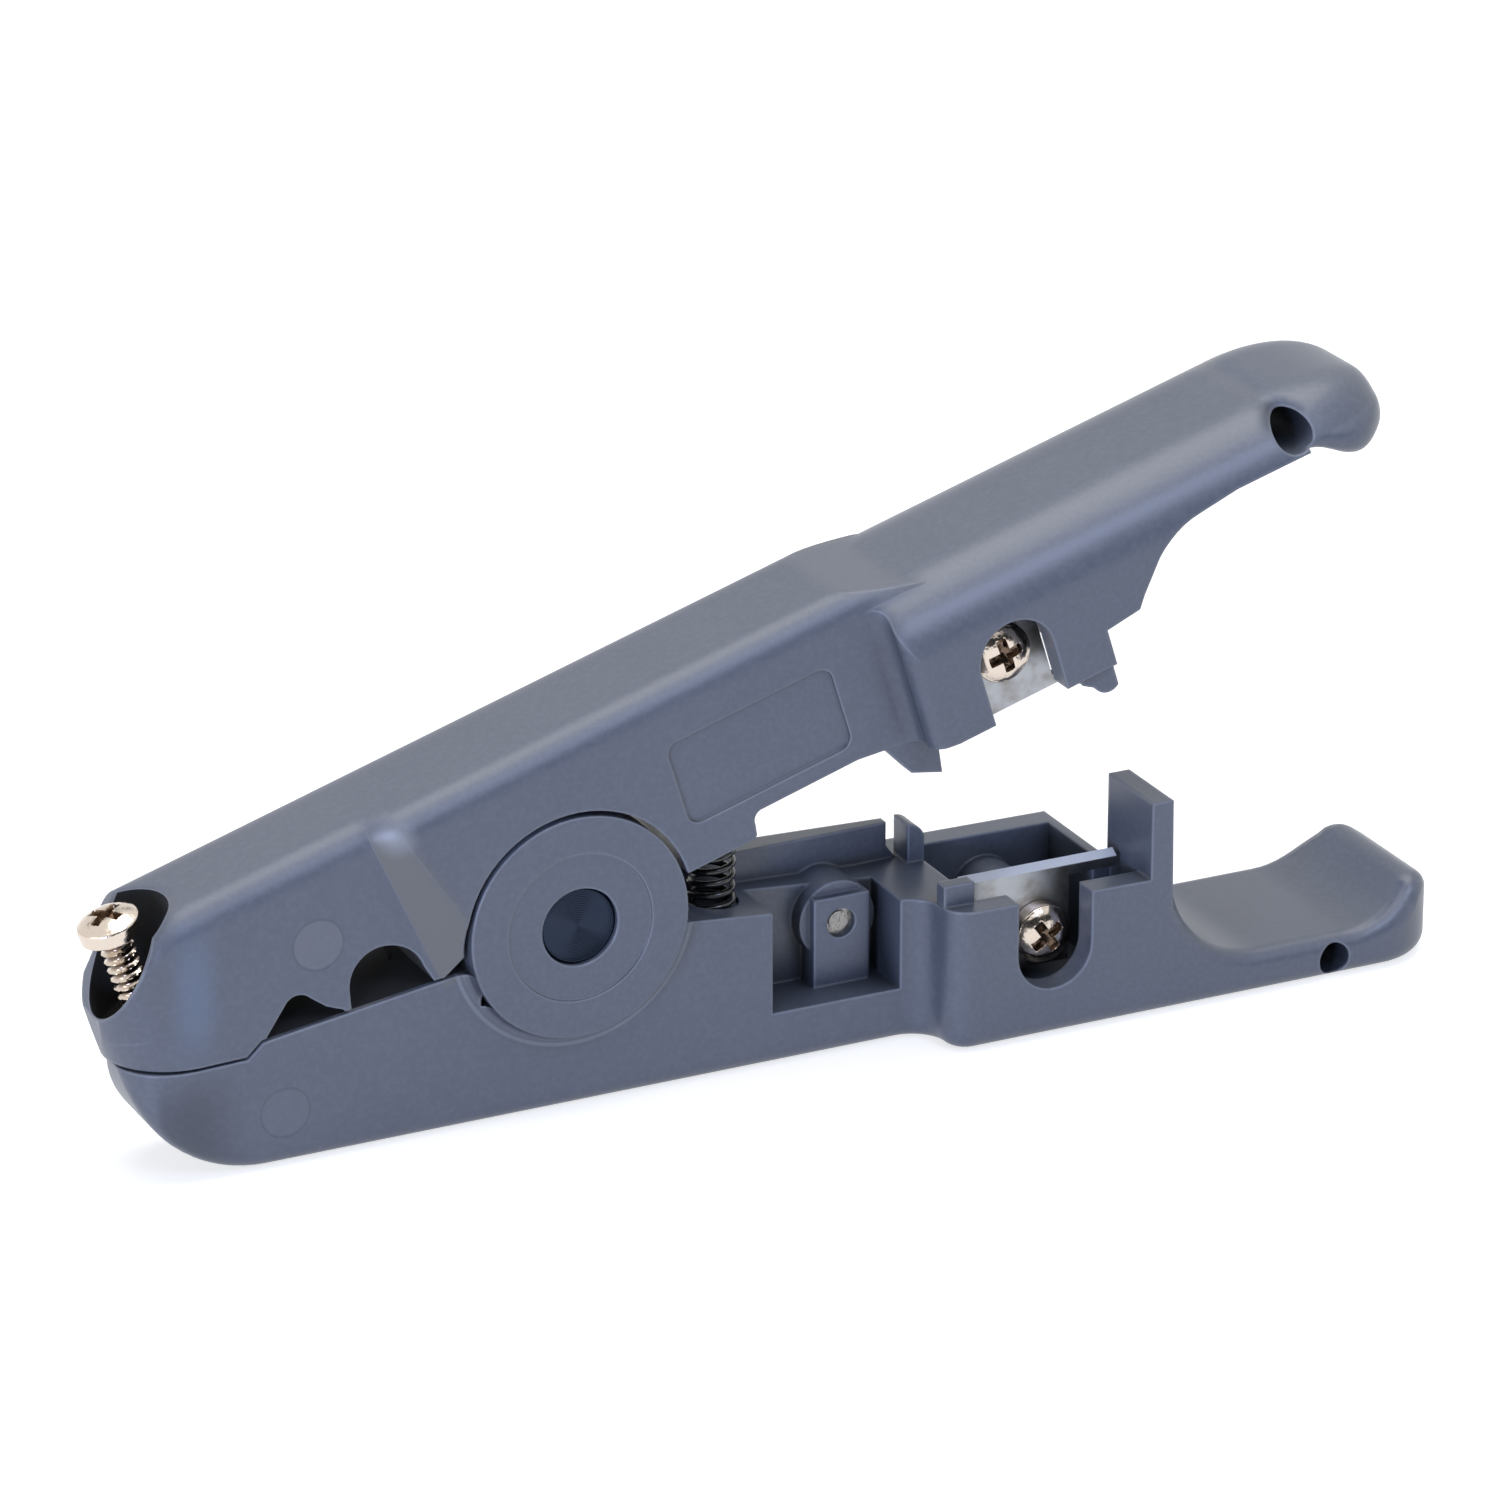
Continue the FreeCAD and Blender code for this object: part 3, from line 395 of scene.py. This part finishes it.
def moulded_abs():
    """Real material: blue-grey ABS, injection moulded in a spark-eroded steel tool, hence its satin grain.

    Its hollows around the jaw blade carry painted shade, and ejector pins left two faint discs on it. Edges,
    the cove's outer lip, the step behind the jaw, its knuckle and the nose corner carry painted light,
    and corners, the cove's foot and the nose's foot carry painted shade.
    """
    made, tree, skin = material("moulded_abs")
    skin.inputs["IOR"].default_value = 1.56
    where = node(tree, "ShaderNodeTexCoord").outputs["Object"]
    u, v, y = spine_places(tree, where)
    mark_ring, mark_face = ejector_marks(tree, where)
    x = along(tree, where, (0.0, 0.0, 0.0), (1.0, 0.0, 0.0))
    z = along(tree, where, (0.0, 0.0, 0.0), (0.0, 0.0, 1.0))
    # painted shade inside the jaw's mouth and the screw's well
    dark = dark_hollows(tree, x, y, z, u, v)
    # painted shade at the cove's foot and a painted highlight on its lip
    cove_foot_shade, cove_lip_highlight = cove_lines(tree, u, v, z)
    # painted light on the step, painted highlights on the knuckle and nose corner, painted shade on the nose
    # foot
    step, knuckle, corner, nose_foot_shade = painted_light_places(tree, x, y, z, u, v)

    small = node(tree, "ShaderNodeBevel", {"samples": 6}, Radius=EDGE_R * MM)
    large = node(tree, "ShaderNodeBevel", {"samples": 6}, Radius=SOFT_EDGE_R * MM)
    facing = node(tree, "ShaderNodeNewGeometry").outputs["Normal"]
    turned_by = node(tree, "ShaderNodeVectorMath", {"operation": "DOT_PRODUCT"},
                     in0=small.outputs["Normal"], in1=facing)
    # paler where the bent normal shows an edge: a painted highlight
    edge_highlight = ramp(tree, turned_by.outputs["Value"], 0.998, 0.9)
    open_share = node(tree, "ShaderNodeAmbientOcclusion", {"samples": 8, "only_local": True},
                      Distance=NOOK_REACH * MM)
    # darker where the part hides itself within NOOK_REACH: painted shade
    nook = ramp(tree, open_share.outputs["AO"], 0.9, 0.3)

    # slow clouds of about 12 mm and mottling of about 0.5 mm, coarser than the real grain so that it shows
    cloud = node(tree, "ShaderNodeTexNoise", Vector=where, Scale=85.0, Detail=2.0)
    mottle = node(tree, "ShaderNodeTexNoise", Vector=where, Scale=1900.0, Detail=3.0)
    fleck = ramp(tree, mottle.outputs["Fac"], 0.35, 0.75)
    tone = blend_colour(tree, cloud.outputs["Fac"], PLASTIC_LOW, PLASTIC_HIGH)
    # each layer covers the ones before it: where it lies, how much it covers, its colour. The fleck and the
    # ejector marks are the plastic's own; the step layer is painted light, the corner, knuckle, edge and
    # cove-lip layers are painted highlights, and the nose-foot, cove-foot, nook and hollow layers are painted
    # shade
    for mask, share, colour in ((fleck, 0.3, PLASTIC_FLECK), (step, 0.8, PLASTIC_STEP_LIGHT),
                                (corner, 0.5, PLASTIC_CORNER_HIGHLIGHT), (nose_foot_shade, 0.5, PLASTIC_SHADE),
                                (knuckle, 0.7, PLASTIC_KNUCKLE_HIGHLIGHT), (edge_highlight, 0.6, PLASTIC_EDGE_HIGHLIGHT),
                                (cove_lip_highlight, 0.45, PLASTIC_EDGE_HIGHLIGHT), (cove_foot_shade, 0.55, PLASTIC_SHADE),
                                (nook, 0.92, PLASTIC_SHADE), (mark_face, 0.45, MARK_FACE),
                                (mark_ring, 0.25, MARK_RING), (dark, 0.96, HOLLOW_SHADE)):
        tone = blend_colour(tree, maths(tree, "MULTIPLY", mask, share), tone, colour)
    tree.links.new(tone, skin.inputs["Base Color"])
    rough = node(tree, "ShaderNodeMapRange", Value=mottle.outputs["Fac"], To_Min=0.28, To_Max=0.42)
    tree.links.new(maths(tree, "MAXIMUM", rough.outputs[0], dark), skin.inputs["Roughness"])

    # sockets 4 and 5 of a vector mix are its two vectors, and its second output is the vector
    edge = node(tree, "ShaderNodeMix", {"data_type": "VECTOR"}, Factor=soft_corners(tree, u, v))
    tree.links.new(small.outputs["Normal"], edge.inputs[4])
    tree.links.new(large.outputs["Normal"], edge.inputs[5])
    grain = node(tree, "ShaderNodeTexNoise", Vector=where, Scale=3400.0, Detail=2.0)
    height = maths(tree, "SUBTRACT", maths(tree, "MULTIPLY", grain.outputs["Fac"], 0.5), mark_ring)
    bump = node(tree, "ShaderNodeBump", Strength=0.6, Distance=0.035 * MM, Height=height)
    tree.links.new(edge.outputs[1], bump.inputs["Normal"])
    tree.links.new(bump.outputs["Normal"], skin.inputs["Normal"])
    return made


def nickel_plate():
    """Real material: bright nickel plate on cold-headed steel screws, with painted shade in the driver recess
    and thread roots.
    """
    made, tree, skin = material("nickel_plate")
    skin.inputs["Metallic"].default_value = 1.0
    # the hollow attribute marks the recess and the thread roots, where shade is painted
    hollow = node(tree, "ShaderNodeAttribute", {"attribute_name": "hollow"}).outputs["Fac"]
    where = node(tree, "ShaderNodeTexCoord").outputs["Object"]
    tree.links.new(blend_colour(tree, hollow, NICKEL, NICKEL_RECESS_SHADE), skin.inputs["Base Color"])
    # the tumbling of the plating barrel leaves dents of about half a millimetre
    dents = node(tree, "ShaderNodeTexNoise", Vector=where, Scale=1500.0, Detail=2.0)
    rough = node(tree, "ShaderNodeMapRange", Value=dents.outputs["Fac"], To_Min=0.1, To_Max=0.26)
    tree.links.new(rough.outputs[0], skin.inputs["Roughness"])
    bump = node(tree, "ShaderNodeBump", Strength=0.7, Distance=0.09 * MM, Height=dents.outputs["Fac"])
    tree.links.new(bump.outputs["Normal"], skin.inputs["Normal"])
    return made


def ground_steel():
    """Real material: hardened carbon-steel blade, ground lengthwise, with a freshly ground paler bevel that
    also carries a painted highlight.
    """
    made, tree, skin = material("ground_steel")
    where = node(tree, "ShaderNodeTexCoord").outputs["Object"]
    v = spine_places(tree, where)[1]
    z = along(tree, where, (0.0, 0.0, 0.0), (0.0, 0.0, 1.0))
    lower = maths(tree, "MULTIPLY", ramp(tree, z, LOW_BEVEL_Z0 * MM, LOW_BEVEL_Z1 * MM),
                  ramp(tree, z, (LOW_BEVEL_END_Z + 1.0) * MM, LOW_BEVEL_END_Z * MM))
    upper = maths(tree, "MULTIPLY", ramp(tree, v, UP_BEVEL_V0 * MM, UP_BEVEL_V1 * MM),
                  ramp(tree, z, UP_BEVEL_START_Z * MM, (UP_BEVEL_START_Z + 1.0) * MM))
    # the bevels, paler and carrying a painted highlight
    bevel = maths(tree, "MAXIMUM", lower, upper)
    stretched = node(tree, "ShaderNodeVectorMath", {"operation": "MULTIPLY"}, in0=where, in1=(0.06, 1.0, 1.0))
    lines = node(tree, "ShaderNodeTexNoise", Vector=stretched.outputs[0], Scale=9000.0, Detail=2.0)
    stain = node(tree, "ShaderNodeTexNoise", Vector=where, Scale=420.0, Detail=3.0)
    tone = blend_colour(tree, ramp(tree, stain.outputs["Fac"], 0.4, 0.7), STEEL_GROUND, STEEL_STAINED)
    tree.links.new(blend_colour(tree, bevel, tone, STEEL_BEVEL_AND_SHEEN), skin.inputs["Base Color"])
    # the scratches of the bevel scatter light almost as paint does
    tree.links.new(maths(tree, "SUBTRACT", 1.0, maths(tree, "MULTIPLY", bevel, 0.8)),
                   skin.inputs["Metallic"])
    rough = node(tree, "ShaderNodeMapRange", Value=lines.outputs["Fac"], To_Min=0.26, To_Max=0.46)
    tree.links.new(rough.outputs[0], skin.inputs["Roughness"])
    bump = node(tree, "ShaderNodeBump", Strength=0.2, Distance=0.01 * MM, Height=lines.outputs["Fac"])
    tree.links.new(bump.outputs["Normal"], skin.inputs["Normal"])
    return made


def dark_blade():
    """Real material: blued tool-steel blade deep in the jaw, dark from its heat treatment and made darker as
    painted shade.
    """
    made, _, skin = material("dark_blade")
    skin.inputs["Metallic"].default_value = 1.0
    skin.inputs["Base Color"].default_value = linear(BLADE_BLUED_AND_SHADE)
    skin.inputs["Roughness"].default_value = 0.45
    return made


def dull_steel():
    """Real material: zinc-plated steel screw end, cut off and left grey."""
    made, tree, skin = material("dull_steel")
    skin.inputs["Metallic"].default_value = 1.0
    skin.inputs["Base Color"].default_value = linear(SCREW_DULL)
    where = node(tree, "ShaderNodeTexCoord").outputs["Object"]
    marks = node(tree, "ShaderNodeTexNoise", Vector=where, Scale=2600.0, Detail=3.0)
    rough = node(tree, "ShaderNodeMapRange", Value=marks.outputs["Fac"], To_Min=0.2, To_Max=0.5)
    tree.links.new(rough.outputs[0], skin.inputs["Roughness"])
    bump = node(tree, "ShaderNodeBump", Strength=0.8, Distance=0.12 * MM, Height=marks.outputs["Fac"])
    tree.links.new(bump.outputs["Normal"], skin.inputs["Normal"])
    return made


def spring_wire():
    """Real material: drawn music wire with a black oiled oxide finish, wound cold on a mandrel."""
    made, _, skin = material("spring_wire")
    skin.inputs["Base Color"].default_value = linear(WIRE_BLACK)
    skin.inputs["Roughness"].default_value = 0.24
    skin.inputs["Coat Weight"].default_value = 0.5
    skin.inputs["Coat Roughness"].default_value = 0.15
    return made


def turned_black():
    """Real material: black-oxided steel pin, faced on a lathe, whose tool left fine rings on it.

    The rings are drawn a little coarser than the real ones, so that they show.
    """
    made, tree, skin = material("turned_black")
    skin.inputs["Base Color"].default_value = linear(PIN_BLUED)
    skin.inputs["Metallic"].default_value = 1.0
    skin.inputs["Roughness"].default_value = 0.2
    where = node(tree, "ShaderNodeTexCoord").outputs["Object"]
    centre = node(tree, "ShaderNodeVectorMath", {"operation": "SUBTRACT"},
                  in0=where, in1=(0.0, 0.0, PIVOT_Z * MM))
    flat = node(tree, "ShaderNodeVectorMath", {"operation": "MULTIPLY"},
                in0=centre.outputs[0], in1=(1.0, 0.0, 1.0))
    away = node(tree, "ShaderNodeVectorMath", {"operation": "LENGTH"}, in0=flat.outputs[0])
    turns = maths(tree, "MULTIPLY", away.outputs["Value"], 2.0 * math.pi / (PIN_RING_PITCH * MM))
    wave = maths(tree, "SINE", turns)
    bump = node(tree, "ShaderNodeBump", Strength=0.8, Distance=0.014 * MM, Height=wave)
    tree.links.new(bump.outputs["Normal"], skin.inputs["Normal"])
    return made


# Surfaces made of rings


def stack(rings):
    """Closed skin over rings of points: (rows, columns, 3) in, points and faces out.

    Each row is a ring that wraps round. The first and last rows are closed with a fan to their mean point.
    """
    rows, columns = rings.shape[:2]
    points = np.concatenate([rings.reshape(-1, 3), [rings[0].mean(axis=0), rings[-1].mean(axis=0)]])
    here = np.arange(columns)
    after = (here + 1) % columns
    row = (np.arange(rows - 1) * columns)[:, None]
    quads = np.stack([row + here, row + after, row + columns + after, row + columns + here], axis=-1)
    first, last = rows * columns, rows * columns + 1
    base = (rows - 1) * columns
    fans = np.concatenate([np.stack([np.full(columns, first), after, here], axis=-1),
                           np.stack([np.full(columns, last), base + here, base + after], axis=-1)])
    return points, [*quads.reshape(-1, 4).tolist(), *fans.tolist()]


def turned(radii, heights, columns):
    """Rings of a lathe shape about Z: ring i has radius radii[i] at height heights[i]."""
    turn = np.linspace(0.0, 2.0 * np.pi, columns, endpoint=False)
    r = np.asarray(radii)[:, None]
    z = np.broadcast_to(np.asarray(heights)[:, None], (len(radii), columns))
    return np.stack([r * np.cos(turn), r * np.sin(turn), z], axis=-1)


def soft_step(value, edge, width):
    """0 below the edge, 1 above it: t * t * (3 - 2 t), where t runs from 0 to 1 over the width around it."""
    t = np.clip((value - edge) / width + 0.5, 0.0, 1.0)
    return t * t * (3.0 - 2.0 * t)


def pan_head(radius, thick):
    """Pan head with a cross recess, underside at z = 0; returns its rings and where the recess is.

    At distance r of radius R the top is thick * (1 - HEAD_DROP * (r / R) ** HEAD_POWER) high. It rolls over
    the rim on a quarter circle, and loses the recess: two crossed wings, deepest at the centre and half as
    deep at their ends.
    """
    columns = 192
    bend = np.linspace(0.0, np.pi / 2.0, 6)[1:]
    top_r = np.linspace(0.02, radius - HEAD_ROLL * 0.5, 42)
    top_z = thick * (1.0 - HEAD_DROP * (top_r / radius) ** HEAD_POWER)
    rim_r = radius - HEAD_ROLL * 0.5 + HEAD_ROLL * 0.5 * np.sin(bend)
    rim_z = top_z[-1] - HEAD_ROLL * (1.0 - np.cos(bend))
    low_r = [radius, radius - 0.12, radius * 0.5, 0.05]
    low_z = [0.12, 0.0, 0.0, 0.0]
    rings = turned([*top_r, *rim_r, *low_r], [*top_z, *rim_z, *low_z], columns)
    x, y = np.abs(rings[..., 0]), np.abs(rings[..., 1])
    end = WING_REACH * radius
    wing_x = (1.0 - soft_step(y, WING_W, 0.1)) * (1.0 - soft_step(x, end, 0.16))
    wing_y = (1.0 - soft_step(x, WING_W, 0.1)) * (1.0 - soft_step(y, end, 0.16))
    hollow = np.maximum(wing_x, wing_y)
    hollow[len(top_r):] = 0.0
    away = np.minimum(np.hypot(x, y) / end, 1.0)
    rings[..., 2] -= RECESS_DEPTH * (1.0 - 0.5 * away) * hollow
    return rings, hollow


def thread(radius, length):
    """Threaded shank below z = 0, down to -length; returns its rings and how deep in the root each point is.

    At turn a and height z the radius is the root plus depth * (1 - |2 f - 1|) ** THREAD_SHARPNESS, where f is
    the fractional part of z / pitch - a / (2 pi): narrow crests with wide roots. It fades to the root at both
    ends, and the last 0.8 mm narrows to a blunt point.
    """
    columns = 48
    rows = int(length / THREAD_PITCH * THREAD_ROWS)
    turn = np.linspace(0.0, 2.0 * np.pi, columns, endpoint=False)[None, :]
    z = np.linspace(0.1, -length, rows)[:, None]
    f = np.mod(z / THREAD_PITCH - turn / (2.0 * np.pi), 1.0)
    fade = np.clip((z + length) / 1.2, 0.0, 1.0) * np.clip((0.1 - z) / 0.6, 0.0, 1.0)
    crest = fade * (1.0 - np.abs(2.0 * f - 1.0)) ** THREAD_SHARPNESS
    r = radius - THREAD_DEPTH + THREAD_DEPTH * crest
    r = r * (1.0 - 0.45 * np.clip(1.0 - (z + length) / 0.8, 0.0, 1.0))
    rings = np.stack([r * np.cos(turn), r * np.sin(turn), np.broadcast_to(z, r.shape)], axis=-1)
    return rings, np.clip(1.0 - 2.5 * crest, 0.0, 1.0)


def piece(name, parts, look, body):
    """Object from [(rings, hollow or None), ...] in millimetres, riding on a body, with its material."""
    points, faces, marks, start = [], [], [], 0
    for rings, hollow in parts:
        p, f = stack(rings)
        points.append(p)
        faces += [[i + start for i in face] for face in f]
        flat = np.zeros(rings.shape[:2]) if hollow is None else hollow
        marks.append(np.concatenate([flat.ravel(), [flat[0].mean(), flat[-1].mean()]]))
        start += len(p)
    mesh = bpy.data.meshes.new(name)
    mesh.from_pydata(np.concatenate(points) * MM, [], faces)
    # marks where nickel_plate paints shade in recesses and thread roots
    mark = mesh.attributes.new("hollow", "FLOAT", "POINT")
    mark.data.foreach_set("value", np.concatenate(marks).astype(np.float32))
    b = bmesh.new()
    b.from_mesh(mesh)
    bmesh.ops.recalc_face_normals(b, faces=b.faces)
    b.to_mesh(mesh)
    b.free()
    mesh.shade_smooth()
    mesh.set_sharp_from_angle(angle=math.radians(40.0))
    mesh.materials.append(look)
    made = bpy.data.objects.new(name, mesh)
    bpy.context.scene.collection.objects.link(made)
    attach(made, body)
    return made


def placed(rings, origin, axis, spin=0.0):
    """Turn rings so that +Z points along axis, after a spin about Z, and move them to origin."""
    quaternion = Vector(axis).to_track_quat("Z", "Y")
    matrix = np.array(quaternion.to_matrix())
    c, s = math.cos(spin), math.sin(spin)
    about = np.array([[c, -s, 0.0], [s, c, 0.0], [0.0, 0.0, 1.0]])
    return rings @ (matrix @ about).T + np.asarray(origin)


def box_mm(name):
    """Low and high corner of a CAD node in millimetres."""
    low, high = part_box(name)
    return np.array(low) / MM, np.array(high) / MM


def blade_screw(name, body, look, spin):
    """Pan-head screw that holds a blade: the head faces the near side."""
    low, high = box_mm(name)
    centre = (low + high) / 2.0
    radius = (high[0] - low[0]) / 2.0
    under = (centre[0], low[1] + HEAD_T, centre[2])
    head, hollow = pan_head(radius, HEAD_T)
    shank, root = thread(SHANK_SHARE * radius, high[1] - low[1] - HEAD_T)
    toward = (0.0, -1.0, 0.0)
    made = piece("pan_" + name, [(placed(head, under, toward, spin), hollow),
                                 (placed(shank, under, toward), root)], look, body)
    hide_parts(name)


def from_spine(u, v):
    """World X and Z of a point given along the upper arm's spine (u) and square to it (v)."""
    c, s = math.cos(OPEN_ANGLE), math.sin(OPEN_ANGLE)
    return u * c - v * s, PIVOT_Z + u * s + v * c


def adjusting_screw(look):
    """Screw in the nose that sets how deep the jaw blade cuts."""
    x, z = from_spine(ADJUST_U, ADJUST_HEAD_V)
    under = (x, 0.0, z)
    up = (-math.sin(OPEN_ANGLE), 0.0, math.cos(OPEN_ANGLE))
    head, hollow = pan_head(ADJUST_HEAD_R, HEAD_T)
    shank, root = thread(ADJUST_R, ADJUST_HEAD_V - ADJUST_TIP_V)
    made = piece("threaded_adjusting_screw", [(placed(head, under, up, ADJUST_SPIN), hollow),
                                              (placed(shank, under, up), root)],
                 look, "adjuster")
    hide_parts("adjusting_screw")


def coil_spring(look):
    """Round wire along a helix: at turn t the angle is 2 pi t, and the height climbs evenly with t.

    The first and last half turn lie flat.
    """
    low, high = box_mm("return_spring")
    centre = (low + high) / 2.0
    radius = (high[0] - low[0]) / 2.0 - SPRING_WIRE_R
    t = np.linspace(0.0, SPRING_TURNS, int(SPRING_TURNS * SPRING_STEPS))
    climb = np.clip((t - 0.5) / (SPRING_TURNS - 1.0), 0.0, 1.0)
    bottom, top = low[2] + SPRING_WIRE_R, high[2] - SPRING_WIRE_R
    z = bottom + (top - bottom) * climb
    a = 2.0 * np.pi * t
    path = np.stack([centre[0] + radius * np.cos(a), centre[1] + radius * np.sin(a), z], axis=-1)
    out = np.stack([np.cos(a), np.sin(a), np.zeros_like(a)], axis=-1)
    b = np.linspace(0.0, 2.0 * np.pi, SPRING_AROUND, endpoint=False)[None, :, None]
    up = np.array([0.0, 0.0, 1.0])
    tube = path[:, None] + SPRING_WIRE_R * (np.cos(b) * out[:, None] + np.sin(b) * up)
    made = piece("wound_spring", [(tube, None)], look, "base")
    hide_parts("return_spring")
    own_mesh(made)


def pivot_pin(look):
    """Turned pin: a shallow dished face with a chamfered rim at each end of a plain cylinder."""
    low, high = box_mm("pivot_pin")
    radius = (high[0] - low[0]) / 2.0
    half = (high[1] - low[1]) / 2.0
    face_r = np.linspace(0.05, radius - PIN_RIM, 10)
    face_z = half - PIN_HOLLOW * (1.0 - face_r / face_r[-1])
    bend = np.linspace(0.0, np.pi / 2.0, 6)[1:]
    rim_r = radius - PIN_RIM + PIN_RIM * np.sin(bend)
    rim_z = half - 0.8 * PIN_RIM * (1.0 - np.cos(bend))
    radii = np.concatenate([face_r, rim_r])
    heights = np.concatenate([face_z, rim_z])
    rings = turned([*radii, *radii[::-1]], [*heights, *-heights[::-1]], 96)
    made = piece("turned_pivot_pin", [(placed(rings, (0.0, 0.0, PIVOT_Z), (0.0, -1.0, 0.0)), None)],
                 look, "base")
    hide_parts("pivot_pin")


# Stage


def lit_and_seen(tree):
    """1 for a ray from the camera, a reflection or a transmission, 0 for light that falls on things."""
    rays = node(tree, "ShaderNodeLightPath")
    mirrored = maths(tree, "MAXIMUM", rays.outputs["Is Camera Ray"], rays.outputs["Is Glossy Ray"])
    return maths(tree, "MAXIMUM", mirrored, rays.outputs["Is Transmission Ray"])


def set_floor():
    """Pale paper floor that keeps the shadow; its own white shows only to the camera and in reflections.

    The white is FLOOR_WHITE near the part, where the lights do the rest, and rises to 1 far from it.
    """
    bpy.ops.mesh.primitive_plane_add(size=FLOOR_SIZE)
    floor = bpy.context.object
    floor.name = "floor"
    made, tree, skin = material("floor_paper")
    skin.inputs["Base Color"].default_value = linear(FLOOR_PAPER)
    skin.inputs["Roughness"].default_value = 0.9
    skin.inputs["Emission Color"].default_value = linear(WHITE)
    where = node(tree, "ShaderNodeTexCoord").outputs["Object"]
    away = node(tree, "ShaderNodeVectorMath", {"operation": "LENGTH"}, in0=where).outputs["Value"]
    far = ramp(tree, away, FLOOR_NEAR, FLOOR_FAR)
    white = maths(tree, "ADD", FLOOR_WHITE, maths(tree, "MULTIPLY", far, 1.0 - FLOOR_WHITE))
    tree.links.new(maths(tree, "MULTIPLY", lit_and_seen(tree), white), skin.inputs["Emission Strength"])
    floor.data.materials.append(made)


def set_world():
    """Even pale surroundings, pure white where they are seen."""
    world = bpy.data.worlds.new("studio")
    bpy.context.scene.world = world
    world.use_nodes = True
    tree = world.node_tree
    tree.nodes.clear()
    light = node(tree, "ShaderNodeBackground", Color=linear(STUDIO_AIR), Strength=STUDIO_LEVEL)
    white = node(tree, "ShaderNodeBackground", Color=linear(WHITE), Strength=1.0)
    mix = node(tree, "ShaderNodeMixShader", Fac=lit_and_seen(tree),
               in1=light.outputs[0], in2=white.outputs[0])
    node(tree, "ShaderNodeOutputWorld", Surface=mix.outputs[0])


def dark_card(name, place, tilt, width, height):
    """Black card out of the picture, seen only in reflections, so that bright metal has a dark to show."""
    bpy.ops.mesh.primitive_plane_add(size=1.0)
    card = bpy.context.object
    card.name = name
    card.data.transform(Matrix.Translation(place) @ Matrix.Rotation(math.radians(tilt), 4, "X")
                        @ Matrix.Diagonal((width, height, 1.0, 1.0)))
    made, _, skin = material(name + "_felt")
    skin.inputs["Base Color"].default_value = linear(CARD_FELT)
    skin.inputs["Roughness"].default_value = 1.0
    card.data.materials.append(made)
    card.visible_camera = False
    card.visible_diffuse = False
    card.visible_shadow = False


def area_light(name, position, size, power, colour):
    """Square lamp aimed at the middle of the part."""
    data = bpy.data.lights.new(name, "AREA")
    data.size = size
    data.energy = power
    data.color = linear(colour)[:3]
    lamp = bpy.data.objects.new(name, data)
    lamp.location = position
    lamp.rotation_euler = (AIM - Vector(position)).to_track_quat("-Z", "Y").to_euler()
    bpy.context.scene.collection.objects.link(lamp)


def set_camera():
    """Camera at CAMERA_DISTANCE from the aim, looking along its azimuth and down by its elevation."""
    a, e = CAMERA_AZIMUTH, CAMERA_ELEVATION
    ahead = Vector((math.sin(a) * math.cos(e), math.cos(a) * math.cos(e), -math.sin(e)))
    data = bpy.data.cameras.new("camera")
    data.lens = LENS_MM
    data.sensor_width = SENSOR_MM
    data.clip_start = CAMERA_NEAR
    camera = bpy.data.objects.new("camera", data)
    camera.location = AIM - ahead * CAMERA_DISTANCE
    camera.rotation_euler = ahead.to_track_quat("-Z", "Y").to_euler()
    bpy.context.scene.collection.objects.link(camera)
    bpy.context.scene.camera = camera


def dress():
    """Materials on the plain solids, and new pieces for the screws, the spring and the pin."""
    plastic, nickel, steel = moulded_abs(), nickel_plate(), ground_steel()
    black, wire, dark, dull = turned_black(), spring_wire(), dark_blade(), dull_steel()
    looks = {"lower_arm": plastic, "upper_arm": plastic, "lower_blade": steel,
             "upper_blade": steel, "jaw_blade": dark, "block_screw": dull}
    for name, look in looks.items():
        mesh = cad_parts[name].data
        mesh.materials.clear()
        mesh.materials.append(look)
    blade_screw("lower_blade_screw", "base", nickel, LOWER_SPIN)
    blade_screw("upper_blade_screw", "lever", nickel, UPPER_SPIN)
    adjusting_screw(nickel)
    coil_spring(wire)
    pivot_pin(black)


dress()
set_floor()
set_world()
for card in CARDS:
    dark_card(*card)
for lamp in LAMPS:
    area_light(*lamp)
set_camera()
bpy.context.scene.view_settings.view_transform = "Standard"
